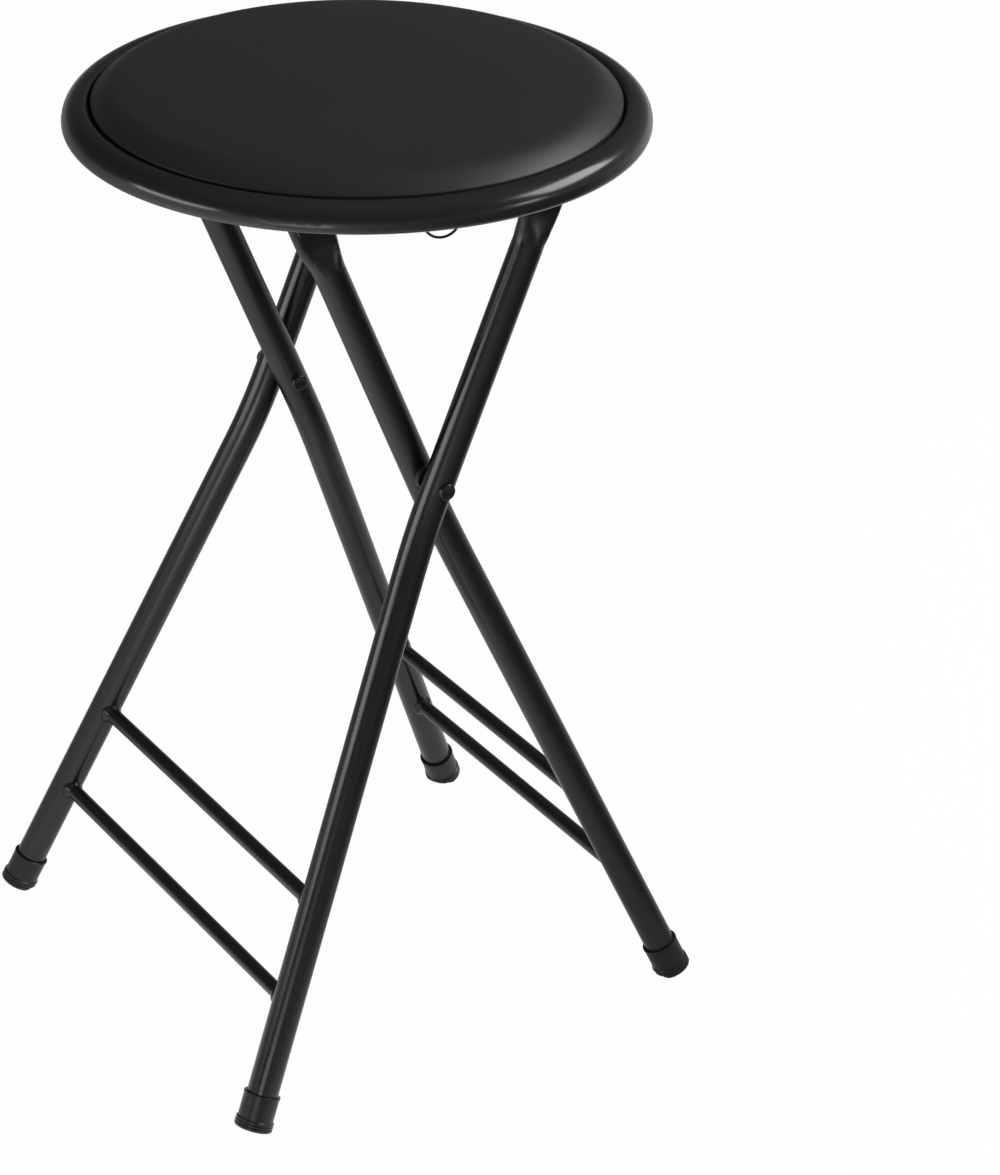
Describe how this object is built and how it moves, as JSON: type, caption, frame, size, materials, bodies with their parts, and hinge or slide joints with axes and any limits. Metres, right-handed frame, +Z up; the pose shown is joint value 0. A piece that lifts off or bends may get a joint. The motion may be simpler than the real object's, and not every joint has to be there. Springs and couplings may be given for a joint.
{
  "type": "folding stool",
  "caption": "Folding stool: round padded seat with a rolled metal edge on crossed bent-tube frames with rungs and rubber feet.",
  "frame": {"origin": "on the floor, below the pivot axis of the crossed frames, in the middle plane", "axes": "+Z up; +Y along the pivot axis towards the far side of the picture; +X from the outer frame's feet towards the inner frame's feet"},
  "size_m": [0.3603, 0.3578, 0.6096],
  "materials": {
    "frame_paint": "satin black powder coat",
    "rim_paint": "satin black powder coat",
    "vinyl": "black grained vinyl",
    "foam": "open-cell foam",
    "plywood": "raw plywood",
    "foot_rubber": "matt black rubber",
    "rivet_steel": "black oxide",
    "rod_steel": "satin black powder coat",
    "washer_nylon": "moulded nylon",
    "screw_steel": "zinc plated",
    "wire_steel": "black wire"
  },
  "bodies": {
    "outer_frame": {"outer_leg_near": "frame_paint", "outer_leg_far": "frame_paint", "outer_rung_upper": "frame_paint", "outer_rung_lower": "frame_paint", "outer_foot_near": "foot_rubber", "outer_foot_far": "foot_rubber", "pivot_rivet_near": "rivet_steel", "pivot_rivet_far": "rivet_steel", "pivot_washer_near": "washer_nylon", "pivot_washer_far": "washer_nylon", "hinge_rod": "rod_steel", "hinge_sleeve_near": "washer_nylon", "hinge_sleeve_far": "washer_nylon"},
    "inner_frame": {"inner_leg_near": "frame_paint", "inner_leg_far": "frame_paint", "inner_rung_upper": "frame_paint", "inner_rung_lower": "frame_paint", "inner_foot_near": "foot_rubber", "inner_foot_far": "foot_rubber", "catch_rod": "rod_steel"},
    "seat": {"seat_rim": "rim_paint", "seat_board": "plywood", "seat_foam": "foam", "seat_cover": "vinyl", "seat_rail_near": "frame_paint", "seat_rail_far": "frame_paint", "rail_screws": "screw_steel", "rim_screws": "screw_steel", "loop_clip": "frame_paint", "loop_clip_screw": "screw_steel"},
    "hanging_loop": {"hang_loop": "wire_steel"}
  },
  "joints": [
    {"name": "seat_tilt", "type": "hinge", "parent": "outer_frame", "child": "seat", "pos_m": [0.0768, 0, 0.56298], "axis": [0, 1, 0], "range_deg": [0, 112]},
    {"name": "frame_fold", "type": "hinge", "parent": "outer_frame", "child": "inner_frame", "pos_m": [0, 0, 0.37827], "axis": [0, 1, 0], "range_deg": [0, 39.5]},
    {"name": "loop_swing", "type": "hinge", "parent": "seat", "child": "hanging_loop", "pos_m": [-0.02839, -0.15046, 0.5785], "axis": [0.9796, -0.2011, 0], "range_deg": [-75, 75]}
  ],
  "couplings": [
    {"joint": "frame_fold", "follows": "seat_tilt", "ratio": 0.35268}
  ]
}
